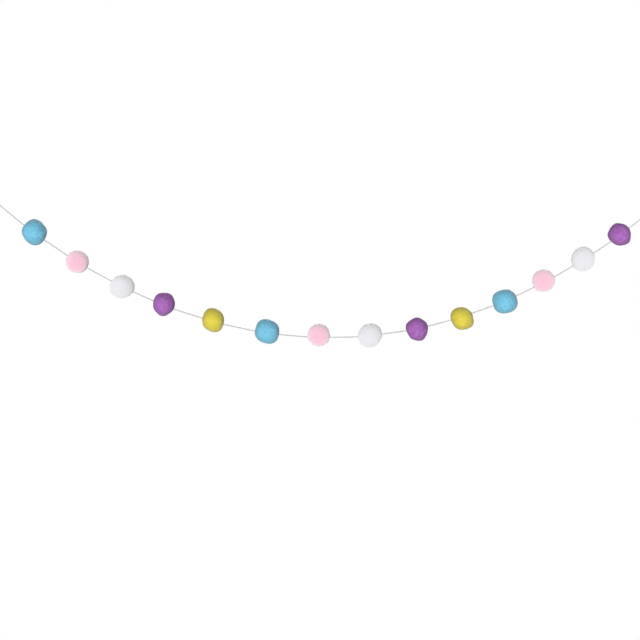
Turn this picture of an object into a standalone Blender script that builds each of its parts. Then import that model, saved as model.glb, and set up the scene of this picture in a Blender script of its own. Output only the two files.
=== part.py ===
"""Felt ball garland, as it hangs between two fixings.

Fourteen balls of rolled wool felt are threaded on one cotton string, which ends at both
sides in a knotted hanging loop. Metres, +Z up. The garland hangs in the XZ plane and is
seen along +Y. The origin is inside the bight of the left loop, where a hook bears.
"""

import math

import bmesh
import bpy
import numpy as np
from mathutils import Vector

# String
STRING_DIAMETER = 0.0014
STRING_POINTS = 48
PIECE_GAP = 0.0003

# Where a hook bears in each hanging loop
HANG_LEFT = Vector((0.0, 0.0, 0.0))
HANG_RIGHT = Vector((0.7434, 0.0, -0.0162))

# The loop's centreline, from the string's line round the bight and back to the knot:
# distance from the hook along the string's line, and across it
LOOP_LENGTH = 0.022
LOOP_POINTS = 13
LOOP_ROUTE = [
    (0.0216, 0.0), (0.0180, -0.0005), (0.0135, -0.0019), (0.0085, -0.0036),
    (0.0040, -0.0042), (0.0006, -0.0028), (-0.0007, 0.0003), (0.0006, 0.0034),
    (0.0040, 0.0049), (0.0085, 0.0046), (0.0135, 0.0033), (0.0180, 0.0022),
    (0.0216, 0.00175),
]

# The knot: the string's end comes back from the loop and is wound round the string
WRAPS = 4
WRAP_PITCH = 0.0015
WRAP_RIDGE = 0.00012
KNOT_LENGTH = WRAPS * WRAP_PITCH
KNOT_RADIUS = 1.5 * STRING_DIAMETER
KNOT_END_SHARE = 0.86
KNOT_RINGS = 4 * WRAPS + 1
KNOT_SIDES = 16

# The short cut tail that comes out of the knot and lies beside the string
TAIL_LENGTH = 0.008
TAIL_OFFSET = STRING_DIAMETER + PIECE_GAP
TAIL_SPLAY = 0.0010
TAIL_GAP = 0.0004

# Balls: colour, centre x and z, then x and z of the string where it enters and leaves
BALLS = [
    ("blue", 0.0698, -0.0554, 0.0608, -0.0497, 0.0795, -0.0631),
    ("pink", 0.1151, -0.0868, 0.1055, -0.0808, 0.1253, -0.0930),
    ("white", 0.1623, -0.1130, 0.1521, -0.1076, 0.1729, -0.1179),
    ("purple", 0.2064, -0.1313, 0.1958, -0.1281, 0.2175, -0.1368),
    ("yellow", 0.2584, -0.1483, 0.2473, -0.1464, 0.2697, -0.1527),
    ("blue", 0.3155, -0.1603, 0.3042, -0.1601, 0.3271, -0.1634),
    ("pink", 0.3701, -0.1641, 0.3585, -0.1660, 0.3817, -0.1665),
    ("white", 0.4241, -0.1644, 0.4125, -0.1658, 0.4356, -0.1633),
    ("purple", 0.4738, -0.1579, 0.4623, -0.1594, 0.4851, -0.1547),
    ("yellow", 0.5213, -0.1466, 0.5100, -0.1481, 0.5322, -0.1409),
    ("blue", 0.5665, -0.1286, 0.5555, -0.1324, 0.5770, -0.1232),
    ("pink", 0.6073, -0.1066, 0.5968, -0.1139, 0.6174, -0.1033),
    ("white", 0.6491, -0.0838, 0.6390, -0.0907, 0.6587, -0.0784),
    ("purple", 0.6877, -0.0579, 0.6780, -0.0656, 0.6969, -0.0517),
]

# Round radius of each colour's ball
BALL_RADIUS = {
    "blue": 0.0129,
    "pink": 0.0119,
    "white": 0.0129,
    "purple": 0.0118,
    "yellow": 0.0119,
}

# Lumps (and dents, with a height below 0) that rolling leaves on each colour's ball:
# turn in the hanging plane from the string's direction, where 90 is up; lean towards the
# back, or the front below 0; height; width of the bell shape. Angles in degrees.
BALL_LUMPS = {
    "blue": [
        (40, 0, 0.0003, 16), (75, 0, -0.0005, 12), (130, 0, 0.0011, 18),
        (205, 0, 0.0005, 18), (255, 0, -0.0003, 16), (310, 0, 0.0008, 16),
        (335, 0, 0.0007, 14), (60, -42, -0.0004, 20), (215, -50, 0.0004, 24),
        (20, 55, 0.0005, 22), (170, 40, -0.0004, 20), (280, 62, 0.0004, 20),
    ],
    "pink": [
        (60, 0, 0.0003, 16), (110, 0, 0.0001, 16), (188, 0, 0.0005, 20),
        (300, 0, -0.0002, 14), (325, 0, 0.0002, 16), (95, -50, -0.0003, 24),
        (300, -45, 0.0003, 24), (150, 60, 0.0005, 22), (10, 45, -0.0003, 22),
    ],
    "white": [
        (45, 0, 0.0008, 18), (140, 0, -0.0005, 24), (205, 0, 0.0004, 20),
        (245, 0, 0.0002, 16), (318, 0, -0.0006, 16), (20, -48, -0.0003, 22),
        (230, -55, 0.0003, 24), (80, 50, 0.0004, 22), (260, 48, -0.0004, 22),
    ],
    "purple": [
        (85, 0, 0.0006, 14), (145, 0, 0.0007, 16), (200, 0, -0.0007, 14),
        (280, 0, 0.0010, 16), (335, 0, -0.0004, 14), (115, -45, -0.0004, 20),
        (300, -50, 0.0004, 24), (50, 55, 0.0005, 22), (235, 50, -0.0004, 20),
    ],
    "yellow": [
        (20, 0, -0.0004, 24), (115, 0, 0.0010, 24), (195, 0, -0.0007, 18),
        (315, 0, 0.0013, 18), (70, -48, -0.0004, 22), (240, -50, 0.0004, 24),
        (160, 50, 0.0005, 22), (10, 52, -0.0003, 22),
    ],
}

# The hole through each ball, and the pucker round its mouths
BORE_GAP = 0.00045
BORE_RADIUS = STRING_DIAMETER / 2 + BORE_GAP
PUCKER_DEPTH = 0.0005
PUCKER_WIDTH = math.radians(9)

BALL_SIDES = 24
BALL_RINGS = [math.radians(a) for a in (10, 19, 32, 46, 61, 75, 90, 105, 119, 134, 148, 161, 170)]
MOUTH_STEPS = 6
SHARP_EDGE = math.radians(60)

# Finishes: colour, roughness
FELT_COLOURS = {
    "blue": (0.20, 0.55, 0.74, 1.0),
    "pink": (0.96, 0.57, 0.70, 1.0),
    "white": (0.83, 0.83, 0.86, 1.0),
    "purple": (0.40, 0.15, 0.48, 1.0),
    "yellow": (0.74, 0.64, 0.08, 1.0),
}
FELT_ROUGHNESS = 0.95
STRING_COLOUR = (0.72, 0.72, 0.71, 1.0)
STRING_ROUGHNESS = 0.85


def clear_scene():
    for obj in list(bpy.data.objects):
        bpy.data.objects.remove(obj, do_unlink=True)


def material(name, colour, roughness):
    mat = bpy.data.materials.new(name)
    mat.use_nodes = True
    shader = mat.node_tree.nodes["Principled BSDF"]
    shader.inputs["Base Color"].default_value = colour
    shader.inputs["Roughness"].default_value = roughness
    shader.inputs["Metallic"].default_value = 0.0
    return mat


def add_object(name, data, mat):
    data.materials.append(mat)
    obj = bpy.data.objects.new(name, data)
    bpy.context.scene.collection.objects.link(obj)
    return obj


def smooth_curve(points, steps=12):
    """Points along a Catmull-Rom curve through the given ones."""
    p = [points[0] * 2 - points[1], *points, points[-1] * 2 - points[-2]]
    curve = [points[0]]
    for a, b, c, d in zip(p, p[1:], p[2:], p[3:]):
        for k in range(1, steps + 1):
            t = k / steps
            bend = (a * -1 + b * 3 - c * 3 + d) * t**3
            bow = (a * 2 - b * 5 + c * 4 - d) * t**2
            curve.append((b * 2 + (c - a) * t + bow + bend) / 2)
    return curve


def even_points(curve, count):
    """The given number of points, evenly spaced along a curve."""
    line = np.array([list(p) for p in curve])
    steps = np.linalg.norm(np.diff(line, axis=0), axis=1)
    along = np.concatenate([[0.0], np.cumsum(steps)])
    places = np.linspace(0.0, along[-1], count)
    return [Vector([np.interp(s, along, line[:, k]) for k in range(3)]) for s in places]


def tube(name, points, mat):
    """A round string along the points, with closed ends."""
    curve = bpy.data.curves.new(name, "CURVE")
    curve.dimensions = "3D"
    curve.bevel_depth = STRING_DIAMETER / 2
    curve.bevel_resolution = 2
    curve.use_fill_caps = True
    spline = curve.splines.new("POLY")
    spline.points.add(len(points) - 1)
    for point, place in zip(spline.points, points):
        point.co = (*place, 1.0)
    return add_object(name, curve, mat)


def across(direction):
    """The direction at a right angle to the string's, in the hanging plane."""
    return Vector((-direction.z, 0.0, direction.x))


def string_route():
    """The string's own points, from the left knot to the right one."""
    holes = []
    for _, _, _, enter_x, enter_z, leave_x, leave_z in BALLS:
        holes += [Vector((enter_x, 0.0, enter_z)), Vector((leave_x, 0.0, leave_z))]
    start = LOOP_LENGTH + KNOT_LENGTH + PIECE_GAP
    left = HANG_LEFT + (holes[0] - HANG_LEFT).normalized() * start
    right = HANG_RIGHT + (holes[-1] - HANG_RIGHT).normalized() * start
    return [left, *holes, right]


def ring_of(centre, side_a, side_b, radii):
    """Points round a centre, one for each radius."""
    count = len(radii)
    turns = [2 * math.pi * k / count for k in range(count)]
    return [
        centre + (side_a * math.cos(t) + side_b * math.sin(t)) * r
        for t, r in zip(turns, radii)
    ]


def join_rings(bm, rings, closed):
    """Walls of quads between rings of points, from each ring to the next."""
    rows = [[bm.verts.new(p) for p in ring] for ring in rings]
    pairs = list(zip(rows, rows[1:]))
    if closed:
        pairs.append((rows[-1], rows[0]))
    for near, far in pairs:
        for k in range(len(near)):
            nxt = (k + 1) % len(near)
            bm.faces.new((near[k], near[nxt], far[nxt], far[k]))
    return rows


def finish_mesh(name, bm, mat):
    bmesh.ops.recalc_face_normals(bm, faces=bm.faces[:])
    mesh = bpy.data.meshes.new(name)
    bm.to_mesh(mesh)
    bm.free()
    mesh.shade_smooth()
    mesh.set_sharp_from_angle(angle=SHARP_EDGE)
    return add_object(name, mesh, mat)


def lump_directions(colour, along, up):
    """Each lump's direction from the ball's middle, with its height and width."""
    back = Vector((0.0, 1.0, 0.0))
    lumps = []
    for turn, lean, height, width in BALL_LUMPS[colour]:
        flat = along * math.cos(math.radians(turn)) + up * math.sin(math.radians(turn))
        towards = flat * math.cos(math.radians(lean)) + back * math.sin(math.radians(lean))
        lumps.append((towards, height, math.radians(width)))
    return lumps


def felt_ball(name, row, string_at, mat):
    """A lumpy ball of felt round the string, which goes through it in a narrow hole."""
    colour, x, z, enter_x, enter_z, leave_x, leave_z = row
    middle = Vector((x, 0.0, z))
    along = Vector((leave_x - enter_x, 0.0, leave_z - enter_z)).normalized()
    up = across(along)
    back = Vector((0.0, 1.0, 0.0))
    radius = BALL_RADIUS[colour]
    lumps = lump_directions(colour, along, up)

    def string_beside(distance):
        """The string's place across the ball's axis, at a distance along it."""
        place = string_at(middle.x + along.x * distance)
        return (place - middle).dot(up)

    mouths = [(along * side * radius + up * string_beside(side * radius)).normalized()
              for side in (1, -1)]
    turns = [2 * math.pi * k / BALL_SIDES for k in range(BALL_SIDES)]
    outwards = [up * math.cos(t) + back * math.sin(t) for t in turns]

    def felt_radius(towards):
        size = radius
        for lump, height, width in lumps:
            size += height * math.exp(-((towards.angle(lump) / width) ** 2) / 2)
        for mouth in mouths:
            size -= PUCKER_DEPTH * math.exp(-((towards.angle(mouth) / PUCKER_WIDTH) ** 2) / 2)
        return size

    def skin_ring(polar):
        """A ring of the ball's skin, drawn to the side where the string comes out."""
        side = 1 if polar < math.pi / 2 else -1
        drawn = up * (string_beside(side * radius) / radius * math.cos(polar) ** 2)
        ring = []
        for outward in outwards:
            towards = along * math.cos(polar) + outward * math.sin(polar) + drawn
            towards.normalize()
            ring.append(middle + towards * felt_radius(towards))
        return ring

    def mouth_ring(side):
        """The edge of the hole, where it meets the skin."""
        centre = up * string_beside(side * radius)
        ring = []
        for outward in outwards:
            edge = centre + outward * BORE_RADIUS
            out = radius
            for _ in range(MOUTH_STEPS):
                place = edge + along * side * out
                out += felt_radius(place.normalized()) - place.length
            ring.append(middle + edge + along * side * out)
        return ring

    hole_middle = middle + up * string_beside(0.0)
    hole_ring = ring_of(hole_middle, up, back, [BORE_RADIUS] * BALL_SIDES)
    rings = [mouth_ring(1), *[skin_ring(a) for a in BALL_RINGS], mouth_ring(-1), hole_ring]
    bm = bmesh.new()
    join_rings(bm, rings, closed=True)
    return finish_mesh(name, bm, mat)


def knot(name, hang, along, mat):
    """The wound knot as one solid, with a spiral ridge for its wraps."""
    side, back = across(along), Vector((0.0, 1.0, 0.0))
    rings = []
    for ring in range(KNOT_RINGS):
        place = ring / (KNOT_RINGS - 1)
        at_end = ring in (0, KNOT_RINGS - 1)
        radii = []
        for k in range(KNOT_SIDES):
            turn = 2 * math.pi * k / KNOT_SIDES
            ridge = WRAP_RIDGE * math.cos(turn - 2 * math.pi * WRAPS * place)
            radii.append(KNOT_RADIUS * KNOT_END_SHARE if at_end else KNOT_RADIUS + ridge)
        centre = hang + along * (LOOP_LENGTH + place * KNOT_LENGTH)
        rings.append(ring_of(centre, side, back, radii))
    bm = bmesh.new()
    rows = join_rings(bm, rings, closed=False)
    bm.faces.new(rows[0])
    bm.faces.new(rows[-1])
    return finish_mesh(name, bm, mat)


def hanging_end(suffix, hang, towards, mat):
    """The loop, knot and tail at one end of the string."""
    along = (towards - hang).normalized()
    side = across(along)
    loop = smooth_curve([hang + along * a + side * w for a, w in LOOP_ROUTE])
    tube(f"loop_{suffix}", even_points(loop, LOOP_POINTS), mat)
    knot(f"knot_{suffix}", hang, along, mat)
    root = hang + along * (LOOP_LENGTH + KNOT_LENGTH + TAIL_GAP) + side * TAIL_OFFSET
    tip = root + along * TAIL_LENGTH + side * TAIL_SPLAY
    tube(f"tail_{suffix}", [root, root.lerp(tip, 0.5), tip], mat)


def main():
    clear_scene()
    string_finish = material("string", STRING_COLOUR, STRING_ROUGHNESS)
    felt = {c: material(f"felt_{c}", FELT_COLOURS[c], FELT_ROUGHNESS) for c in FELT_COLOURS}

    route = string_route()
    curve = smooth_curve(route)
    curve_x, curve_z = [p.x for p in curve], [p.z for p in curve]

    def string_at(x):
        return Vector((x, 0.0, float(np.interp(x, curve_x, curve_z))))

    tube("string", even_points(curve, STRING_POINTS), string_finish)
    hanging_end("left", HANG_LEFT, route[1], string_finish)
    hanging_end("right", HANG_RIGHT, route[-2], string_finish)
    for number, row in enumerate(BALLS, start=1):
        felt_ball(f"ball_{number:02d}_{row[0]}", row, string_at, felt[row[0]])


main()
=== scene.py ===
# %% [markdown]
# # A felt ball garland
# Fourteen balls of rolled wool felt hang on one cotton string, which sags in a shallow
# curve between two tied loops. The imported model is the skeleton: plain balls, a plain
# string, plain knots. Here each of them gets its real surface.
#
# Everything is in metres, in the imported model's own frame: +X to the right, +Z up and +Y
# towards the wall. The origin is where a hook bears in the left loop.

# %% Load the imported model
import math

import bpy
import numpy as np
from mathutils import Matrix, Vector


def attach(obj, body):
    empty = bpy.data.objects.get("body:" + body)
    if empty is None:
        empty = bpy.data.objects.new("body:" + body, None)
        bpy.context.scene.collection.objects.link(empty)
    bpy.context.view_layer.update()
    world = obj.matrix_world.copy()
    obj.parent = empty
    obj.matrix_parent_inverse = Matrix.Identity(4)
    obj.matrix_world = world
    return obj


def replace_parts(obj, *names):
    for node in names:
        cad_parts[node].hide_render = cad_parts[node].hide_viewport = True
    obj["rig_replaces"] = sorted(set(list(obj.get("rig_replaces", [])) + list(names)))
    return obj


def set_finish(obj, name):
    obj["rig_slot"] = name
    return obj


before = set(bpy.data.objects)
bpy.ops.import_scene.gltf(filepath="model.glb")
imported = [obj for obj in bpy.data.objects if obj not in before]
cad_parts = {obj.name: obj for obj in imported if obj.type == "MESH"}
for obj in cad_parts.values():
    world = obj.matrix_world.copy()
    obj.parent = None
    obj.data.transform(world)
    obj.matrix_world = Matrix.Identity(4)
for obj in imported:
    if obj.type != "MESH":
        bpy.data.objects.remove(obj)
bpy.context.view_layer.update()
print("nodes in the packed model:", ", ".join(sorted(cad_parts)))

# %% [markdown]
# ## The camera
# The picture looks straight at the hanging plane, level, and cuts the string off just
# beyond the outer balls. The mean ball, 25 mm wide, is 23.67 pixels across there, and that
# sets how wide the view is. A long lens keeps the outer balls as round as the middle one.
# The camera could be placed by eye, but worked out from the pixel size it stays right if a
# size changes.

# %% Place the camera
MILLIMETRE = 0.001
PICTURE_PIXELS = 640
MEAN_BALL = 25 * MILLIMETRE
MEAN_BALL_PIXELS = 23.67
PIXEL = MEAN_BALL / MEAN_BALL_PIXELS
VIEW_MIDDLE = Vector((0.37127, 0.0, -0.14817))
LENS_MM = 85.0
SENSOR_MM = 36.0

view_width = PICTURE_PIXELS * PIXEL
camera_distance = view_width * LENS_MM / SENSOR_MM
bpy.ops.object.camera_add(
    location=VIEW_MIDDLE - Vector((0.0, camera_distance, 0.0)),
    rotation=(math.radians(90), 0.0, 0.0),
)
camera = bpy.context.object
camera.name = "picture_camera"
camera.data.lens = LENS_MM
camera.data.sensor_width = SENSOR_MM
bpy.context.scene.camera = camera
print(f"the view is {view_width:.3f} m wide at {camera_distance:.3f} m")

# %% [markdown]
# ## Where the string runs
# The balls came first in the measuring: each row holds a ball's colour and middle, and the
# two points where the string goes into it and comes out. The string is pulled a little
# towards one side of each ball, as a needle never quite hits the middle. Between the balls
# it is free, so a smooth curve through those points is its whole route.

# %% The balls' places and the string's points
STRING_DIAMETER = 0.0014
STRING_STEP = 0.42 * MILLIMETRE
HANG_LEFT = Vector((0.0, 0.0, 0.0))
HANG_RIGHT = Vector((0.7434, 0.0, -0.0162))

# Colour, middle x and z, then x and z of the string where it enters and leaves
BALLS = [
    ("blue", 0.0698, -0.0554, 0.0608, -0.0497, 0.0795, -0.0631),
    ("pink", 0.1151, -0.0868, 0.1055, -0.0808, 0.1253, -0.0930),
    ("white", 0.1623, -0.1130, 0.1521, -0.1076, 0.1729, -0.1179),
    ("purple", 0.2064, -0.1313, 0.1958, -0.1281, 0.2175, -0.1368),
    ("yellow", 0.2584, -0.1483, 0.2473, -0.1464, 0.2697, -0.1527),
    ("blue", 0.3155, -0.1603, 0.3042, -0.1601, 0.3271, -0.1634),
    ("pink", 0.3701, -0.1641, 0.3585, -0.1660, 0.3817, -0.1665),
    ("white", 0.4241, -0.1644, 0.4125, -0.1658, 0.4356, -0.1633),
    ("purple", 0.4738, -0.1579, 0.4623, -0.1594, 0.4851, -0.1547),
    ("yellow", 0.5213, -0.1466, 0.5100, -0.1481, 0.5322, -0.1409),
    ("blue", 0.5665, -0.1286, 0.5555, -0.1324, 0.5770, -0.1232),
    ("pink", 0.6073, -0.1066, 0.5968, -0.1139, 0.6174, -0.1033),
    ("white", 0.6491, -0.0838, 0.6390, -0.0907, 0.6587, -0.0784),
    ("purple", 0.6877, -0.0579, 0.6780, -0.0656, 0.6969, -0.0517),
]

# A loop's centreline, from the string's line round the bight and back into the knot:
# distance from the hook along the string's line, and across it
LOOP_ROUTE = [
    (0.0216, 0.0), (0.0180, -0.0005), (0.0135, -0.0019), (0.0085, -0.0036),
    (0.0040, -0.0042), (0.0006, -0.0028), (-0.0007, 0.0003), (0.0006, 0.0034),
    (0.0040, 0.0049), (0.0085, 0.0046), (0.0135, 0.0033), (0.0180, 0.0022),
    (0.0216, 0.00175), (0.0240, 0.0013), (0.0262, 0.0012),
]

# Where the knot lies on that line, and how far past it the route between the knots begins
KNOT_START = 0.022
KNOT_LENGTH = 0.006
PAST_KNOT = 0.0003

# %% Curves through points
def smooth_curve(points, steps=12):
    """Points along a Catmull-Rom curve through the given ones."""
    p = [points[0] * 2 - points[1], *points, points[-1] * 2 - points[-2]]
    curve = [points[0]]
    for a, b, c, d in zip(p, p[1:], p[2:], p[3:]):
        for k in range(1, steps + 1):
            t = k / steps
            bend = (a * -1 + b * 3 - c * 3 + d) * t**3
            bow = (a * 2 - b * 5 + c * 4 - d) * t**2
            curve.append((b * 2 + (c - a) * t + bow + bend) / 2)
    return curve


def length_of(points):
    """How long a line of points is."""
    return sum((b - a).length for a, b in zip(points, points[1:]))


def even_points(curve, spacing):
    """Points along a curve, evenly spaced, about so far apart."""
    line = np.array([list(p) for p in curve])
    steps = np.linalg.norm(np.diff(line, axis=0), axis=1)
    along = np.concatenate([[0.0], np.cumsum(steps)])
    places = np.linspace(0.0, along[-1], max(2, round(along[-1] / spacing)))
    return [Vector([np.interp(s, along, line[:, k]) for k in range(3)]) for s in places]


def across(direction):
    """The direction at a right angle to the string's, in the hanging plane."""
    return Vector((-direction.z, 0.0, direction.x))


# %% The string's whole route, knot to knot
def loop_points(hang, towards):
    """A hanging loop's points, from the string's own line round to the knot's side."""
    along = (towards - hang).normalized()
    side = across(along)
    return smooth_curve([hang + along * a + side * w for a, w in LOOP_ROUTE])


holes = []
for _, _, _, enter_x, enter_z, leave_x, leave_z in BALLS:
    holes += [Vector((enter_x, 0.0, enter_z)), Vector((leave_x, 0.0, leave_z))]

run_start = KNOT_START + KNOT_LENGTH + PAST_KNOT
run = smooth_curve([
    HANG_LEFT + (holes[0] - HANG_LEFT).normalized() * run_start,
    *holes,
    HANG_RIGHT + (holes[-1] - HANG_RIGHT).normalized() * run_start,
])
left_loop = loop_points(HANG_LEFT, holes[0])
right_loop = loop_points(HANG_RIGHT, holes[-1])
string_path = even_points([*reversed(left_loop), *run, *right_loop], STRING_STEP)

# %% [markdown]
# ## Twisted cotton
# Craft string is three yarns twisted round each other. A round tube with a striped bump
# would do from far away, but its outline would stay smooth. Here the section itself has
# three round yarns, and it turns as it goes along, so that the grooves between the yarns
# are real and wind round the string. Blender makes that from a curve with the section as
# its bevel object and a tilt that grows with length.

# %% The string's section and its twist
YARNS = 3
YARN_RADIUS = 0.34 * MILLIMETRE
YARN_OFFSET = STRING_DIAMETER / 2 - YARN_RADIUS
YARN_SIDES = 6
TWIST_LENGTH = 4.6 * MILLIMETRE
YARN_CREASE = math.radians(62)
WELD_DISTANCE = 0.001 * MILLIMETRE


def groove_angle():
    """How far round its own middle each yarn shows before the next one covers it."""
    half = math.pi / YARNS
    chord = math.sqrt(YARN_RADIUS**2 - (YARN_OFFSET * math.sin(half)) ** 2)
    reach = YARN_OFFSET * math.cos(half) + chord
    return math.atan2(reach * math.sin(half), reach * math.cos(half) - YARN_OFFSET)


def section_curve():
    """The outline of three yarns side by side, as a closed flat curve."""
    outline = []
    for yarn in range(YARNS):
        facing = 2 * math.pi * yarn / YARNS
        for step in range(YARN_SIDES):
            turn = facing + groove_angle() * (2 * step / YARN_SIDES - 1)
            x = YARN_OFFSET * math.cos(facing) + YARN_RADIUS * math.cos(turn)
            y = YARN_OFFSET * math.sin(facing) + YARN_RADIUS * math.sin(turn)
            outline.append((x, y, 0.0, 1.0))
    curve = bpy.data.curves.new("string_section", "CURVE")
    curve.dimensions = "2D"
    spline = curve.splines.new("POLY")
    spline.points.add(len(outline) - 1)
    spline.use_cyclic_u = True
    for point, place in zip(spline.points, outline):
        point.co = place
    section = bpy.data.objects.new("string_section", curve)
    bpy.context.scene.collection.objects.link(section)
    return section


print(f"each yarn shows {math.degrees(2 * groove_angle()):.0f} degrees of its round")

# %% Helpers for operators
def deselect_all():
    """Leaves edit mode and lets go of everything, as operators act on all that is held."""
    if bpy.context.object and bpy.context.object.mode != "OBJECT":
        bpy.ops.object.mode_set(mode="OBJECT")
    bpy.ops.object.select_all(action="DESELECT")


def pick(obj):
    """Makes one object the only selected and the active one."""
    deselect_all()
    obj.select_set(True)
    bpy.context.view_layer.objects.active = obj


def triangle_count(obj):
    """How many triangles an object's faces make."""
    return sum(len(face.vertices) - 2 for face in obj.data.polygons)


# %% A length of twisted string along a path
def twisted_string(name, points):
    """A mesh of three twisted yarns along the points."""
    section = section_curve()
    curve = bpy.data.curves.new(name, "CURVE")
    curve.dimensions = "3D"
    curve.bevel_mode = "OBJECT"
    curve.bevel_object = section
    curve.use_fill_caps = True
    spline = curve.splines.new("POLY")
    spline.points.add(len(points) - 1)
    gone = 0.0
    for index, (point, place) in enumerate(zip(spline.points, points)):
        gone += (place - points[max(index - 1, 0)]).length
        point.co = (*place, 1.0)
        point.tilt = 2 * math.pi * (gone / TWIST_LENGTH % 1)
    string = bpy.data.objects.new(name, curve)
    bpy.context.scene.collection.objects.link(string)
    pick(string)
    bpy.ops.object.convert(target="MESH")
    bpy.data.objects.remove(section)
    bpy.ops.object.mode_set(mode="EDIT")
    bpy.ops.mesh.select_all(action="SELECT")
    bpy.ops.mesh.remove_doubles(threshold=WELD_DISTANCE)
    bpy.ops.mesh.normals_make_consistent(inside=False)
    bpy.ops.object.mode_set(mode="OBJECT")
    bpy.ops.object.shade_smooth_by_angle(angle=YARN_CREASE)
    return string


string = twisted_string("garland_string", string_path)
print(f"{string.name}: {triangle_count(string)} triangles")

# %% [markdown]
# ## The tied ends
# Each end of the string goes round the hook and comes back beside itself. Then it is wound
# four times round both strands and ends in a short cut tail. The knot could be a ball with
# grooves, but a knot shows which way its string goes, so the same twisted string is laid
# along a real winding: a flattened helix round the two strands, then the tail.

# %% Wind a knot and its tail
WRAPS = 4
WRAP_STEPS = 14
WRAP_MIDDLE = 0.55 * MILLIMETRE
WRAP_HALF_WIDTH = 1.75 * MILLIMETRE
WRAP_HALF_DEPTH = 1.32 * MILLIMETRE
WRAP_INSET = 0.3 * STRING_DIAMETER
FIRST_WRAP = KNOT_START + WRAP_INSET
LAST_WRAP = KNOT_START + KNOT_LENGTH - WRAP_INSET
KNOT_CURVE_STEPS = 6
KNOT_STEP = 0.35 * MILLIMETRE

# The tail from the last wrap on: distance past the knot, across the string, and back
TAIL_ROUTE = [(0.0006, 0.0019, 0.0002), (0.0022, 0.0019, 0.0), (0.0050, 0.0022, -0.0001),
              (0.0080, 0.0027, 0.0001)]


def knot_path(hang, towards):
    """The winding's centreline, from its start between the strands to the tail's tip."""
    along = (towards - hang).normalized()
    side, back = across(along), Vector((0.0, 1.0, 0.0))
    places = [(FIRST_WRAP, WRAP_MIDDLE, 0.0)]
    # In the first quarter turn the string comes out from between the strands
    quarter = WRAP_STEPS // 4
    for step in range(quarter, WRAPS * WRAP_STEPS + 1):
        share = step / (WRAPS * WRAP_STEPS)
        turn = 2 * math.pi * WRAPS * share
        places.append((
            FIRST_WRAP + share * (LAST_WRAP - FIRST_WRAP),
            WRAP_MIDDLE + WRAP_HALF_WIDTH * math.cos(turn),
            WRAP_HALF_DEPTH * math.sin(turn),
        ))
    places += [(KNOT_START + KNOT_LENGTH + a, w, d) for a, w, d in TAIL_ROUTE]
    return [hang + along * a + side * w + back * d for a, w, d in places]


knots = {}
for end, hang, towards in (("left", HANG_LEFT, holes[0]), ("right", HANG_RIGHT, holes[-1])):
    winding = even_points(smooth_curve(knot_path(hang, towards), KNOT_CURVE_STEPS), KNOT_STEP)
    knots[end] = twisted_string(f"wound_knot_{end}", winding)
    used = length_of(winding) / MILLIMETRE
    print(f"{knots[end].name}: {used:.0f} mm of string wound and left over")

# %% Say what the string and knots are
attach(string, "root")
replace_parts(string, "string", "loop_left", "loop_right")
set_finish(string, "string")
for end, knot in knots.items():
    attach(knot, "root")
    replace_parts(knot, f"knot_{end}", f"tail_{end}")
    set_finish(knot, "string")

# %% [markdown]
# ## Rolled felt balls
# A felt ball is loose wool, wetted with soap and rolled between the palms until it shrinks
# and mats. It is never a true sphere: each colour here has its own lumps and flats, those of
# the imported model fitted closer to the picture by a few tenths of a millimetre. One ball of
# each colour is modelled, with its poles on the string's line. Sculpting would do too, but
# a soft lump comes out the same each time when it is pulled out of the sphere as with
# proportional editing by hand: the point of the skin that faces the lump is moved, and the
# skin round it follows.

# %% Sizes of the balls and their lumps
BALL_RADIUS = {
    "blue": 0.0129,
    "pink": 0.0119,
    "white": 0.0127,
    "purple": 0.0118,
    "yellow": 0.0120,
}

# Lumps, or dents with a height below 0: turn in the hanging plane from the string's
# direction, where 90 is up; lean towards the back, or the front below 0; height; width of
# the bell shape. Angles in degrees.
BALL_LUMPS = {
    "blue": [
        (40, 0, 0.0003, 16), (75, 0, -0.0005, 12), (130, 0, 0.0011, 18),
        (205, 0, 0.0005, 18), (255, 0, -0.0003, 16), (304, 0, 0.0009, 17),
        (335, 0, 0.0006, 14), (60, -42, -0.0004, 20), (215, -50, 0.0004, 24),
        (20, 55, 0.0005, 22), (170, 40, -0.0004, 20), (280, 62, 0.0004, 20),
    ],
    "pink": [
        (60, 0, 0.0002, 16), (105, 0, -0.0001, 18), (188, 0, 0.0005, 20),
        (262, 0, 0.0002, 18), (303, 0, -0.0002, 13), (325, 0, 0.0001, 16),
        (95, -50, -0.0003, 24), (300, -45, 0.0003, 24), (150, 60, 0.0005, 22),
        (10, 45, -0.0003, 22),
    ],
    "white": [
        (45, 0, 0.0006, 18), (140, 0, -0.0005, 24), (205, 0, 0.0005, 20),
        (245, 0, 0.0004, 16), (318, 0, -0.0009, 18), (20, -48, -0.0003, 22),
        (230, -55, 0.0003, 24), (80, 50, 0.0004, 22), (260, 48, -0.0004, 22),
    ],
    "purple": [
        (78, 0, 0.0008, 16), (145, 0, 0.0007, 16), (200, 0, -0.0009, 14),
        (280, 0, 0.0012, 16), (335, 0, -0.0004, 14), (115, -45, -0.0004, 20),
        (300, -50, 0.0004, 24), (50, 55, 0.0005, 22), (235, 50, -0.0004, 20),
    ],
    "yellow": [
        (20, 0, -0.0004, 24), (120, 0, 0.0011, 24), (195, 0, -0.0007, 18),
        (308, 0, 0.0013, 20), (70, -48, -0.0004, 22), (240, -50, 0.0004, 24),
        (160, 50, 0.0005, 22), (10, 52, -0.0003, 22),
    ],
}
SPHERE_SEGMENTS = 88
SPHERE_RINGS = 46

# Proportional editing fades to nothing at its reach, which is so many bell widths
BELL_REACH = 2.35


def skin_places(obj):
    """The places of an object's points, as rows of three numbers."""
    places = np.zeros(len(obj.data.vertices) * 3)
    obj.data.vertices.foreach_get("co", places)
    return places.reshape(-1, 3)


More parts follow.
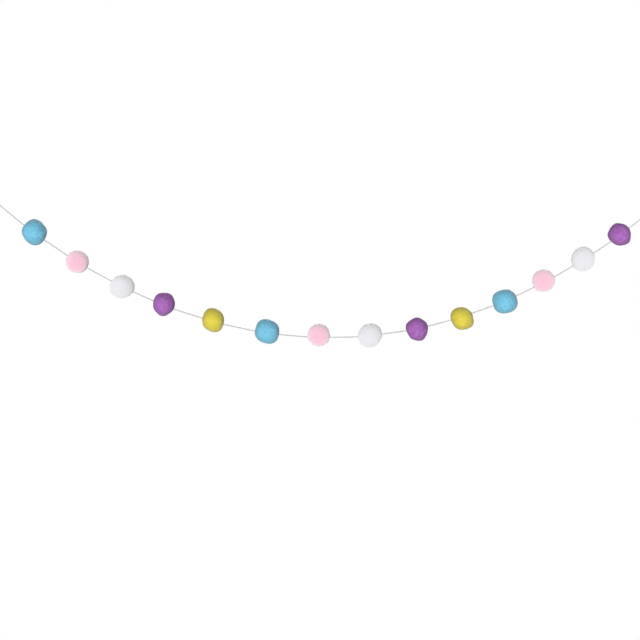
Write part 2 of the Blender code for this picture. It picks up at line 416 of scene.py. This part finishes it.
def select_points(obj, chosen):
    """Selects these points of the mesh alone, and stays in edit mode."""
    bpy.ops.object.mode_set(mode="EDIT")
    bpy.ops.mesh.select_mode(type="VERT")
    bpy.ops.mesh.select_all(action="DESELECT")
    bpy.ops.object.mode_set(mode="OBJECT")
    for index in chosen:
        obj.data.vertices[index].select = True
    bpy.ops.object.mode_set(mode="EDIT")


def pull_skin(obj, towards, move, reach):
    """Moves the point of the skin that faces one direction, and the skin round it."""
    pick(obj)
    facing = int((skin_places(obj) @ np.array(towards)).argmax())
    select_points(obj, [facing])
    bpy.ops.transform.translate(
        value=move,
        use_proportional_edit=True,
        proportional_edit_falloff="SMOOTH",
        proportional_size=reach,
    )
    bpy.ops.object.mode_set(mode="OBJECT")


# %% Model one ball of each colour
def rolled_ball(colour):
    """A lumpy ball about the origin, with the string's direction along X."""
    deselect_all()
    radius = BALL_RADIUS[colour]
    bpy.ops.mesh.primitive_uv_sphere_add(
        segments=SPHERE_SEGMENTS,
        ring_count=SPHERE_RINGS,
        radius=radius,
        rotation=(0.0, math.radians(90), 0.0),
    )
    ball = bpy.context.object
    ball.name = f"rolled_{colour}"
    bpy.ops.object.transform_apply(location=False, rotation=True, scale=False)
    for turn, lean, height, width in BALL_LUMPS[colour]:
        turn, lean, width = math.radians(turn), math.radians(lean), math.radians(width)
        towards = Vector((
            math.cos(turn) * math.cos(lean),
            math.sin(lean),
            math.sin(turn) * math.cos(lean),
        ))
        pull_skin(ball, towards, towards * height, radius * width * BELL_REACH)
    return ball


rolled = {colour: rolled_ball(colour) for colour in BALL_RADIUS}
for colour, ball in rolled.items():
    width, depth, height = ball.dimensions / MILLIMETRE
    print(f"{colour}: {width:.1f} x {depth:.1f} x {height:.1f} mm")

# %% [markdown]
# ## Threading a ball
# The needle leaves a narrow hole that grips the string, and the felt dips a little where
# the string goes in. A string that only pokes into a closed ball would look much the same
# from far away, but the hole makes the ball a true threaded piece. Each ball is a copy of
# its colour's. Its two poles are dragged to where the string really enters and leaves,
# pulled in for the dip and cut out, and the two small rims are joined by a tunnel.

# %% Cut the needle hole
HOLE_RADIUS = 0.68 * MILLIMETRE
DIP_DEPTH = 0.7 * MILLIMETRE
DIP_REACH = 2.6 * MILLIMETRE
POLE_REACH = 7.0 * MILLIMETRE
MOUTH_FROM_MIDDLE = 12.0 * MILLIMETRE
TUNNEL_CUTS = 2


def mouth_move(ball, side, offset):
    """How the pole on one side moves to lie on the skin where the string comes out."""
    pole = Vector(skin_places(ball)[(skin_places(ball)[:, 0] * side).argmax()])
    radius = pole.length
    return Vector((side * (math.sqrt(radius**2 - offset**2) - radius), 0.0, offset))


def thread_ball(ball, offsets):
    """Makes the string's hole through a ball, from the left offset to the right one."""
    for side, offset in zip((-1, 1), offsets):
        outwards = Vector((side, 0.0, 0.0))
        pull_skin(ball, outwards, mouth_move(ball, side, offset), POLE_REACH)
    for side, offset in zip((-1, 1), offsets):
        mouth = Vector((side * MOUTH_FROM_MIDDLE, 0.0, offset))
        places = skin_places(ball)
        pole = int(np.linalg.norm(places - np.array(mouth), axis=1).argmin())
        towards = Vector(places[pole]).normalized()
        pull_skin(ball, towards, towards * -DIP_DEPTH, DIP_REACH)
    cut_tunnel(ball)


def pole_points(ball):
    """The two points where all the sphere's segments meet."""
    meeting = np.bincount([v for e in ball.data.edges for v in e.vertices])
    return [int(v) for v in np.flatnonzero(meeting == SPHERE_SEGMENTS)]


def cut_tunnel(ball):
    """Cuts both poles out, sets the rims to the hole's size and joins them."""
    pick(ball)
    rims = []
    for pole in pole_points(ball):
        rim = [v for e in ball.data.edges if pole in e.vertices for v in e.vertices if v != pole]
        rims.append(rim)
    places = skin_places(ball)
    for rim in rims:
        middle = Vector(places[rim].mean(axis=0))
        wide = float(np.linalg.norm(places[rim] - np.array(middle), axis=1).mean())
        select_points(ball, rim)
        bpy.ops.transform.resize(value=[HOLE_RADIUS / wide] * 3, center_override=middle)
        bpy.ops.object.mode_set(mode="OBJECT")
    select_points(ball, pole_points(ball))
    bpy.ops.mesh.delete(type="VERT")
    bpy.ops.mesh.select_non_manifold()
    bpy.ops.mesh.bridge_edge_loops(number_cuts=TUNNEL_CUTS)
    bpy.ops.mesh.select_all(action="SELECT")
    bpy.ops.mesh.normals_make_consistent(inside=False)
    bpy.ops.object.mode_set(mode="OBJECT")


# %% Put a mesh in a fixed order
# Places are compared to so many digits of a metre
SAME_PLACE_DIGITS = 7


def settle_order(obj):
    """Lists a mesh's points and faces by their place, as bridging leaves them in any order."""
    loose = obj.data
    places = skin_places(obj)
    order = np.lexsort(places.round(SAME_PLACE_DIGITS).T)
    rank = np.empty(len(order), dtype=int)
    rank[order] = np.arange(len(order))
    faces = []
    for face in loose.polygons:
        corners = [int(rank[v]) for v in face.vertices]
        first = corners.index(min(corners))
        faces.append(corners[first:] + corners[:first])
    obj.data = bpy.data.meshes.new(obj.name)
    obj.data.from_pydata(places[order].tolist(), [], sorted(faces))
    bpy.data.meshes.remove(loose)


# %% [markdown]
# ## The felted skin
# Matting leaves two sizes of unevenness: soft hills a few millimetres wide, and a grain of
# small tufts about a millimetre across, like fine orange peel. Sculpting would give them
# too, but a Displace modifier with a cloud texture gives the same result each time. It
# reads the place on the garland, so that no two balls of one colour have the same grain.

# %% Rough the skin
def cloud(name, size, depth):
    """A soft procedural noise for a Displace modifier."""
    texture = bpy.data.textures.new(name, "CLOUDS")
    texture.noise_scale = size
    texture.noise_depth = depth
    texture.noise_basis = "ORIGINAL_PERLIN"
    return texture


hills = cloud("felt_hills", size=5.0 * MILLIMETRE, depth=1)
tufts = cloud("felt_tufts", size=1.1 * MILLIMETRE, depth=2)
HILL_HEIGHT = 0.6 * MILLIMETRE
TUFT_HEIGHT = 0.24 * MILLIMETRE


def rough_skin(ball):
    """Adds points to a ball and moves them in and out into hills and tufts."""
    pick(ball)
    finer = ball.modifiers.new("finer", "SUBSURF")
    finer.levels = 1
    finer.render_levels = 1
    bpy.ops.object.modifier_apply(modifier=finer.name)
    for texture, height in ((hills, HILL_HEIGHT), (tufts, TUFT_HEIGHT)):
        uneven = ball.modifiers.new(texture.name, "DISPLACE")
        uneven.texture = texture
        uneven.texture_coords = "LOCAL"
        uneven.strength = height
        uneven.mid_level = 0.5
        bpy.ops.object.modifier_apply(modifier=uneven.name)
    bpy.ops.object.shade_smooth()


# %% Make the fourteen balls
def string_offsets(row):
    """How far above a ball's middle the string goes in and comes out, in its own line."""
    _, x, z, enter_x, enter_z, leave_x, leave_z = row
    middle = Vector((x, 0.0, z))
    enter, leave = Vector((enter_x, 0.0, enter_z)), Vector((leave_x, 0.0, leave_z))
    up = across((leave - enter).normalized())
    return (enter - middle).dot(up), (leave - middle).dot(up)


def felt_ball(number, row):
    """One threaded ball at its place on the string."""
    colour, x, z, enter_x, enter_z, leave_x, leave_z = row
    ball = rolled[colour].copy()
    ball.data = rolled[colour].data.copy()
    ball.name = f"felt_{number:02d}_{colour}"
    bpy.context.scene.collection.objects.link(ball)
    thread_ball(ball, string_offsets(row))
    settle_order(ball)
    tilt = math.atan2(leave_z - enter_z, leave_x - enter_x)
    pick(ball)
    ball.location = (x, 0.0, z)
    ball.rotation_euler = (0.0, -tilt, 0.0)
    bpy.ops.object.transform_apply(location=True, rotation=True, scale=False)
    rough_skin(ball)
    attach(ball, "root")
    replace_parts(ball, f"ball_{number:02d}_{colour}")
    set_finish(ball, f"felt_{colour}")
    return ball


balls = [felt_ball(number, row) for number, row in enumerate(BALLS, start=1)]
for ball in rolled.values():
    bpy.data.objects.remove(ball)
print(f"{len(balls)} balls, {triangle_count(balls[0])} triangles each")

# %% [markdown]
# ## Loose fibres
# Wool never mats down completely: fine curved hairs, 0.5 to 1.3 mm long, stand off the skin
# and soften the ball's edge. A hair system would need a renderer's own hairs, which a mesh
# file can't hold. Geometry Nodes spread one bent hair over the skin instead, each turned
# and leaned at random from a fixed seed, and give it a thin three-sided body that narrows
# to its tip. The modifier is then applied, so the fibres are a plain mesh.

# %% Helper for node trees
def add_node(tree, kind, settings=None, inputs=None):
    """Adds a node with its settings, and with values or links on its inputs."""
    made = tree.nodes.new(kind)
    for name, value in (settings or {}).items():
        setattr(made, name, value)
    for name, value in (inputs or {}).items():
        if isinstance(value, bpy.types.NodeSocket):
            tree.links.new(value, made.inputs[name])
        else:
            made.inputs[name].default_value = value
    return made


# %% The fibre tree
# The number is for a smooth round ball: the rough skin is larger, and gets a few more
FIBRES_PER_BALL = 1300
FIBRE_SCALE = 0.75 * MILLIMETRE
SHORTEST, LONGEST = 0.5, 1.5
FIBRE_RADIUS = 0.018 * MILLIMETRE
FIBRE_SIDES = 3
TIP_WIDTH = 0.25

# Straight pieces in a fibre: the curve node makes no fewer
FIBRE_PIECES = 3

# How far a fibre leans either way, in radians
MOST_LEAN = 0.9

# One fibre before it is scaled: it starts just inside the skin, stands up and bends over
FIBRE_ROOT = (0.0, 0.0, -0.1)
FIBRE_BEND = (0.05, 0.0, 0.75)
FIBRE_TIP = (0.75, 0.1, 0.8)


def fibre_tree():
    """Geometry Nodes that cover a skin with short bent hairs and leave only the hairs."""
    tree = bpy.data.node_groups.new("loose_wool_fibres", "GeometryNodeTree")
    tree.interface.new_socket("Skin", in_out="INPUT", socket_type="NodeSocketGeometry")
    tree.interface.new_socket("Density", in_out="INPUT", socket_type="NodeSocketFloat")
    tree.interface.new_socket("Seed", in_out="INPUT", socket_type="NodeSocketInt")
    tree.interface.new_socket("Fibres", in_out="OUTPUT", socket_type="NodeSocketGeometry")
    given = add_node(tree, "NodeGroupInput")
    roots = add_node(tree, "GeometryNodeDistributePointsOnFaces", inputs={
        "Mesh": given.outputs["Skin"],
        "Density": given.outputs["Density"],
        "Seed": given.outputs["Seed"],
    })
    hair = add_node(tree, "GeometryNodeCurveQuadraticBezier", inputs={
        "Resolution": FIBRE_PIECES,
        "Start": FIBRE_ROOT,
        "Middle": FIBRE_BEND,
        "End": FIBRE_TIP,
    })
    lean = add_node(tree, "FunctionNodeRandomValue", {"data_type": "FLOAT_VECTOR"}, {
        0: (-MOST_LEAN, -MOST_LEAN, 0.0),
        1: (MOST_LEAN, MOST_LEAN, 2 * math.pi),
        "Seed": given.outputs["Seed"],
    })
    turned = add_node(tree, "FunctionNodeEulerToRotation", inputs={0: lean.outputs[0]})
    standing = add_node(tree, "FunctionNodeRotateRotation", {"rotation_space": "LOCAL"}, {
        0: roots.outputs["Rotation"],
        1: turned.outputs[0],
    })
    size = add_node(tree, "FunctionNodeRandomValue", {"data_type": "FLOAT"}, {
        2: FIBRE_SCALE * SHORTEST,
        3: FIBRE_SCALE * LONGEST,
        "Seed": given.outputs["Seed"],
    })
    placed = add_node(tree, "GeometryNodeInstanceOnPoints", inputs={
        "Points": roots.outputs["Points"],
        "Instance": hair.outputs["Curve"],
        "Rotation": standing.outputs[0],
        "Scale": size.outputs[1],
    })
    real = add_node(tree, "GeometryNodeRealizeInstances", inputs={0: placed.outputs[0]})
    along = add_node(tree, "GeometryNodeSplineParameter")
    taper = add_node(tree, "ShaderNodeMapRange", inputs={
        "Value": along.outputs["Factor"],
        "To Min": 1.0,
        "To Max": TIP_WIDTH,
    })
    section = add_node(tree, "GeometryNodeCurvePrimitiveCircle", inputs={
        "Resolution": FIBRE_SIDES,
        "Radius": FIBRE_RADIUS,
    })
    body = add_node(tree, "GeometryNodeCurveToMesh", inputs={
        "Curve": real.outputs[0],
        "Profile Curve": section.outputs["Curve"],
        "Scale": taper.outputs[0],
        "Fill Caps": True,
    })
    add_node(tree, "NodeGroupOutput", inputs={"Fibres": body.outputs[0]})
    return tree


loose_fibres = fibre_tree()


# %% Grow the fibres on each ball
def fibres_on(ball, number):
    """A piece of loose fibres that stands on one ball's skin."""
    fuzz = ball.copy()
    fuzz.data = ball.data.copy()
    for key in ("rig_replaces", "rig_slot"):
        del fuzz[key]
    fuzz.name = ball.name.replace("felt", "fuzz")
    bpy.context.scene.collection.objects.link(fuzz)
    pick(fuzz)
    colour = BALLS[number - 1][0]
    density = FIBRES_PER_BALL / (4 * math.pi * BALL_RADIUS[colour] ** 2)
    grow = fuzz.modifiers.new("grow", "NODES")
    grow.node_group = loose_fibres
    inputs = {item.name: item.identifier for item in loose_fibres.interface.items_tree}
    grow[inputs["Density"]] = density
    grow[inputs["Seed"]] = number
    bpy.ops.object.modifier_apply(modifier=grow.name)
    bpy.ops.object.shade_smooth()
    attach(fuzz, "root")
    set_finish(fuzz, f"felt_{colour}")
    return fuzz


fuzzes = [fibres_on(ball, number) for number, ball in enumerate(balls, start=1)]
fibre_points = FIBRE_SIDES * (FIBRE_PIECES + 1)
fibre_counts = [len(fuzz.data.vertices) // fibre_points for fuzz in fuzzes]
print(f"{min(fibre_counts)} to {max(fibre_counts)} loose fibres a ball")

# %% [markdown]
# ## The look of wool
# Felt is matt. Its colour wavers: fibres of slightly lighter and darker dye cross each
# other, and soft patches a few millimetres wide are denser than others. All five colours
# share that effect, so it is one node group. A picture of felt would do for one view, but
# the group also holds close up: it bends the coordinates a little, stretches noise in four
# directions for the crossing fibres, and gives out a colour, a roughness and a height for
# the bump.

# %% The matted wool group
FIBRE_DIRECTIONS = [(0.2, 0.5, 0.1), (1.3, -0.4, 0.9), (-0.6, 1.2, 2.1), (0.9, 2.4, -1.0)]
FIBRE_STRETCH = (1.0, 1.0, 0.14)

# Scales of noise in this file are per metre. The swing bends the fibres sideways
SWING_SCALE = 420.0
SWING_REACH = (0.0016, 0.0016, 0.0016)
PATCH_SCALE = 330.0

# The usual level of the crossing fibres and of the patches, and how much patches count
FIBRE_LEVEL = 0.62
PATCH_LEVEL = 0.5
PATCH_IN_COLOUR = 0.7
PATCH_IN_HEIGHT = 0.5
SATURATION_LOSS = 0.5
WOOL_ROUGHNESS = 0.93
ROUGHNESS_DROP = -0.3


def math_node(tree, operation, *values):
    """The result of one sum on two or three values."""
    made = add_node(tree, "ShaderNodeMath", {"operation": operation}, dict(enumerate(values)))
    return made.outputs[0]


def matted_wool_group():
    """Nodes that turn a place and a dye into wool's colour, roughness and height."""
    tree = bpy.data.node_groups.new("matted_wool", "ShaderNodeTree")
    for name, kind in (("Place", "Vector"), ("Wool Colour", "Color"), ("Colour Waver", "Float"),
                       ("Fibre Scale", "Float")):
        tree.interface.new_socket(name, in_out="INPUT", socket_type=f"NodeSocket{kind}")
    for name, kind in (("Colour", "Color"), ("Roughness", "Float"), ("Height", "Float")):
        tree.interface.new_socket(name, in_out="OUTPUT", socket_type=f"NodeSocket{kind}")
    given = add_node(tree, "NodeGroupInput")
    wavy = add_node(tree, "ShaderNodeTexNoise", inputs={
        "Vector": given.outputs["Place"], "Scale": SWING_SCALE, "Detail": 1.0,
    })
    swing = add_node(tree, "ShaderNodeVectorMath", {"operation": "MULTIPLY_ADD"}, {
        0: wavy.outputs["Color"], 1: SWING_REACH, 2: given.outputs["Place"],
    })
    fibres = None
    for turn in FIBRE_DIRECTIONS:
        lying = add_node(tree, "ShaderNodeMapping", inputs={
            "Vector": swing.outputs[0], "Rotation": turn, "Scale": FIBRE_STRETCH,
        })
        strand = add_node(tree, "ShaderNodeTexNoise", inputs={
            "Vector": lying.outputs[0], "Scale": given.outputs["Fibre Scale"], "Detail": 1.0,
        })
        ridge = strand.outputs["Fac"]
        fibres = ridge if fibres is None else math_node(tree, "MAXIMUM", fibres, ridge)
    patches = add_node(tree, "ShaderNodeTexNoise", inputs={
        "Vector": given.outputs["Place"], "Scale": PATCH_SCALE, "Detail": 2.0,
    })
    lift = math_node(tree, "SUBTRACT", fibres, FIBRE_LEVEL)
    patch_lift = math_node(tree, "SUBTRACT", patches.outputs["Fac"], PATCH_LEVEL)
    both = math_node(tree, "MULTIPLY_ADD", patch_lift, PATCH_IN_COLOUR, lift)
    waver = math_node(tree, "MULTIPLY", both, given.outputs["Colour Waver"])
    paler = math_node(tree, "MULTIPLY_ADD", waver, -SATURATION_LOSS, 1.0)
    shade = add_node(tree, "ShaderNodeHueSaturation", inputs={
        "Value": math_node(tree, "ADD", waver, 1.0),
        "Saturation": paler,
        "Color": given.outputs["Wool Colour"],
    })
    rough = math_node(tree, "MULTIPLY_ADD", lift, ROUGHNESS_DROP, WOOL_ROUGHNESS)
    height = math_node(tree, "MULTIPLY_ADD", patch_lift, PATCH_IN_HEIGHT, fibres)
    add_node(tree, "NodeGroupOutput", inputs={
        "Colour": shade.outputs[0], "Roughness": rough, "Height": height,
    })
    return tree


matted_wool = matted_wool_group()

# %% The five colours of felt
# Colour of the skin and of the loose fibres, how strongly the dye wavers, how much pale
# sheen the nap has and how wide it spreads, and how softly the shading falls off, as
# light goes deeper into pale wool
FELT = {
    "blue": ((0.167, 0.500, 0.685), (0.200, 0.480, 0.620), 0.52, 0.26, 0.6, 0.0),
    "pink": ((0.835, 0.480, 0.610), (0.840, 0.600, 0.680), 0.13, 1.00, 0.75, 0.55),
    "white": ((0.710, 0.704, 0.740), (0.740, 0.740, 0.750), 0.07, 1.00, 0.75, 0.45),
    "purple": ((0.345, 0.125, 0.420), (0.370, 0.180, 0.430), 0.70, 0.08, 0.6, 0.0),
    "yellow": ((0.660, 0.557, 0.050), (0.640, 0.560, 0.140), 0.34, 0.18, 0.7, 0.0),
}
STRAND_SCALE = 2600.0
WOOL_SHINE = 0.2
WOOL_BUMP = 0.7
WOOL_BUMP_DEPTH = 0.12 * MILLIMETRE


def wool_material(name, colour, look, bump):
    """Matt wool of one colour. Loose fibres are too thin for a bump."""
    waver, sheen, sheen_width, softness = look
    made = bpy.data.materials.new(name)
    made.use_nodes = True
    tree = made.node_tree
    shader = tree.nodes["Principled BSDF"]
    place = add_node(tree, "ShaderNodeTexCoord")
    wool = add_node(tree, "ShaderNodeGroup", {"node_tree": matted_wool}, {
        "Place": place.outputs["Object"],
        "Wool Colour": (*colour, 1.0),
        "Colour Waver": waver,
        "Fibre Scale": STRAND_SCALE,
    })
    tree.links.new(wool.outputs["Colour"], shader.inputs["Base Color"])
    tree.links.new(wool.outputs["Roughness"], shader.inputs["Roughness"])
    shader.inputs["Diffuse Roughness"].default_value = softness
    shader.inputs["Specular IOR Level"].default_value = WOOL_SHINE
    shader.inputs["Sheen Weight"].default_value = sheen
    shader.inputs["Sheen Roughness"].default_value = sheen_width
    if bump:
        relief = add_node(tree, "ShaderNodeBump", inputs={
            "Strength": WOOL_BUMP,
            "Distance": WOOL_BUMP_DEPTH,
            "Height": wool.outputs["Height"],
        })
        tree.links.new(relief.outputs["Normal"], shader.inputs["Normal"])
    return made


def give(obj, material):
    """Makes this the object's only material."""
    obj.data.materials.clear()
    obj.data.materials.append(material)


felt_skin, felt_fuzz = {}, {}
for colour, (skin, loose, *look) in FELT.items():
    felt_skin[colour] = wool_material(f"felt_{colour}_skin", skin, look, bump=True)
    felt_fuzz[colour] = wool_material(f"felt_{colour}_fuzz", loose, look, bump=False)
for (colour, *_), ball, fuzz in zip(BALLS, balls, fuzzes):
    give(ball, felt_skin[colour])
    give(fuzz, felt_fuzz[colour])

# %% [markdown]
# ## The look of cotton string
# The string is undyed cotton, a pale grey-white. Its yarns are real in the mesh, so the
# material adds only what is finer: the grain of the fibres, patches that have gone a little
# greyer with handling, and a fine bump. A plain colour would do at this distance, but the
# loops and knots are also looked at closely. It reads the string's own coordinates.

# %% The string's material
COTTON = (0.625, 0.625, 0.62, 1.0)
COTTON_SHADE = (0.52, 0.515, 0.505, 1.0)
SHADE_UP_TO = 0.12
CLEAN_FROM = 0.40
GRAIN_SCALE = 5200.0
HANDLING_SCALE = 240.0
GRAIN_BUMP = 0.5
GRAIN_DEPTH = 0.05 * MILLIMETRE
COTTON_ROUGHNESS = 0.9
COTTON_SHINE = 0.25
COTTON_SHEEN = 0.15


def cotton_material():
    """Undyed cotton: two noises between a clean and a greyer tone, and a fine bump."""
    made = bpy.data.materials.new("cotton_string")
    made.use_nodes = True
    tree = made.node_tree
    shader = tree.nodes["Principled BSDF"]
    place = add_node(tree, "ShaderNodeTexCoord")
    fine = add_node(tree, "ShaderNodeTexNoise", inputs={
        "Vector": place.outputs["Object"], "Scale": GRAIN_SCALE, "Detail": 2.0,
    })
    patches = add_node(tree, "ShaderNodeTexNoise", inputs={
        "Vector": place.outputs["Object"], "Scale": HANDLING_SCALE, "Detail": 2.0,
    })
    mixed = math_node(tree, "MULTIPLY", fine.outputs["Fac"], patches.outputs["Fac"])
    ramp = add_node(tree, "ShaderNodeValToRGB", inputs={"Fac": mixed})
    shaded, clean = ramp.color_ramp.elements
    shaded.position, shaded.color = SHADE_UP_TO, COTTON_SHADE
    clean.position, clean.color = CLEAN_FROM, COTTON
    relief = add_node(tree, "ShaderNodeBump", inputs={
        "Strength": GRAIN_BUMP, "Distance": GRAIN_DEPTH, "Height": fine.outputs["Fac"],
    })
    tree.links.new(ramp.outputs["Color"], shader.inputs["Base Color"])
    tree.links.new(relief.outputs["Normal"], shader.inputs["Normal"])
    shader.inputs["Roughness"].default_value = COTTON_ROUGHNESS
    shader.inputs["Specular IOR Level"].default_value = COTTON_SHINE
    shader.inputs["Sheen Weight"].default_value = COTTON_SHEEN
    return made


cotton = cotton_material()
for piece in (string, *knots.values()):
    give(piece, cotton)

# %% [markdown]
# ## Light and floor
# The picture is on pure white. Its balls are brightest near the middle, a little low and to
# the left, and all have the same shading, so the light comes from near the camera and from
# far away: a sun with a wide disc does that. Lamps close by could be placed one for each
# ball, but a real garland has one light. The world is white where the camera sees it and
# gives hardly any light itself, or the balls' edges would be too pale. A weak light from
# above in front and a strong one from high behind, a little to the right, keep the tops and
# backs from going dark. The one behind also brightens the upper rims, as in the picture.
#
# A pale floor lies well below, out of the main view. Its colour is dark, and a glow of its
# own makes it pale: a floor that the lamps light up gets brighter than white can show, and
# then a thin pale string in front of it is lost.

# %% World
WHITE = (1.0, 1.0, 1.0, 1.0)
SURROUND_STRENGTH = 0.06


def white_world():
    """White to the camera's eye, and a faint white light on the garland."""
    world = bpy.data.worlds.new("white_surround")
    world.use_nodes = True
    tree = world.node_tree
    tree.nodes.clear()
    shown = add_node(tree, "ShaderNodeBackground", inputs={"Color": WHITE})
    lit = add_node(tree, "ShaderNodeBackground", inputs={
        "Color": WHITE, "Strength": SURROUND_STRENGTH,
    })
    ray = add_node(tree, "ShaderNodeLightPath")
    mix = add_node(tree, "ShaderNodeMixShader", inputs={
        0: ray.outputs["Is Camera Ray"], 1: lit.outputs[0], 2: shown.outputs[0],
    })
    add_node(tree, "ShaderNodeOutputWorld", inputs={"Surface": mix.outputs[0]})
    bpy.context.scene.world = world


white_world()
bpy.context.scene.view_settings.view_transform = "Standard"
bpy.context.scene.view_settings.look = "None"

# %% Lights
KEY_STRENGTH = 3.75
KEY_LEFT = math.radians(7.5)
KEY_BELOW = math.radians(12.0)
KEY_DISC = math.radians(15.0)


def far_light(name, towards, disc, strength):
    """A sun that shines along a direction, with a wide soft disc."""
    bpy.ops.object.light_add(type="SUN", location=VIEW_MIDDLE - Vector(towards))
    light = bpy.context.object
    light.name = name
    light.data.angle = disc
    light.data.energy = strength
    light.rotation_euler = Vector(towards).to_track_quat("-Z", "Y").to_euler()


def soft_light(name, place, size, power):
    """A square area light that faces the middle of the garland."""
    bpy.ops.object.light_add(type="AREA", location=place)
    light = bpy.context.object
    light.name = name
    light.data.size = size
    light.data.energy = power
    light.rotation_euler = (VIEW_MIDDLE - Vector(place)).to_track_quat("-Z", "Y").to_euler()


deselect_all()
key_direction = (math.sin(KEY_LEFT), 1.0, math.sin(KEY_BELOW))
far_light("key_front", key_direction, KEY_DISC, KEY_STRENGTH)
soft_light("fill_above", place=(0.4, -0.9, 1.6), size=1.2, power=2.0)
soft_light("fill_back", place=(0.7, 1.75, 0.9), size=0.8, power=58.0)

# %% Floor
FLOOR_LEVEL = -0.72
FLOOR_SIZE = 4.0
FLOOR_GLOW = 0.86
FLOOR_TONES = ((0.10, 0.10, 0.10, 1.0), (0.14, 0.14, 0.14, 1.0))
FLOOR_NOISE_SCALE = 1.5
FLOOR_ROUGHNESS = 0.8

# A floor that reached further back than this would show in the level view
FLOOR_FORWARD = -0.95


def floor_material():
    """A dark matt colour with a soft waver, made pale by an even glow."""
    made = bpy.data.materials.new("pale_floor")
    made.use_nodes = True
    tree = made.node_tree
    shader = tree.nodes["Principled BSDF"]
    place = add_node(tree, "ShaderNodeTexCoord")
    noise = add_node(tree, "ShaderNodeTexNoise", inputs={
        "Vector": place.outputs["Object"], "Scale": FLOOR_NOISE_SCALE, "Detail": 3.0,
    })
    ramp = add_node(tree, "ShaderNodeValToRGB", inputs={"Fac": noise.outputs["Fac"]})
    for stop, tone in zip(ramp.color_ramp.elements, FLOOR_TONES):
        stop.color = tone
    tree.links.new(ramp.outputs["Color"], shader.inputs["Base Color"])
    shader.inputs["Roughness"].default_value = FLOOR_ROUGHNESS
    shader.inputs["Emission Color"].default_value = WHITE
    shader.inputs["Emission Strength"].default_value = FLOOR_GLOW
    return made


deselect_all()
floor_middle = (VIEW_MIDDLE.x, FLOOR_FORWARD, FLOOR_LEVEL)
bpy.ops.mesh.primitive_plane_add(size=FLOOR_SIZE, location=floor_middle)
floor = bpy.context.object
floor.name = "pale_floor"
bpy.ops.object.transform_apply(location=True, rotation=False, scale=False)
floor.visible_diffuse = False
floor.visible_shadow = False
give(floor, floor_material())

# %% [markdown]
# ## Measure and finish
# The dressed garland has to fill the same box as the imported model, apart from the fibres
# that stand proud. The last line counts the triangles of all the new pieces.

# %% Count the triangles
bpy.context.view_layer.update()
total = sum(triangle_count(o) for o in (string, *knots.values(), *balls, *fuzzes))
print(f"{total} triangles in all")
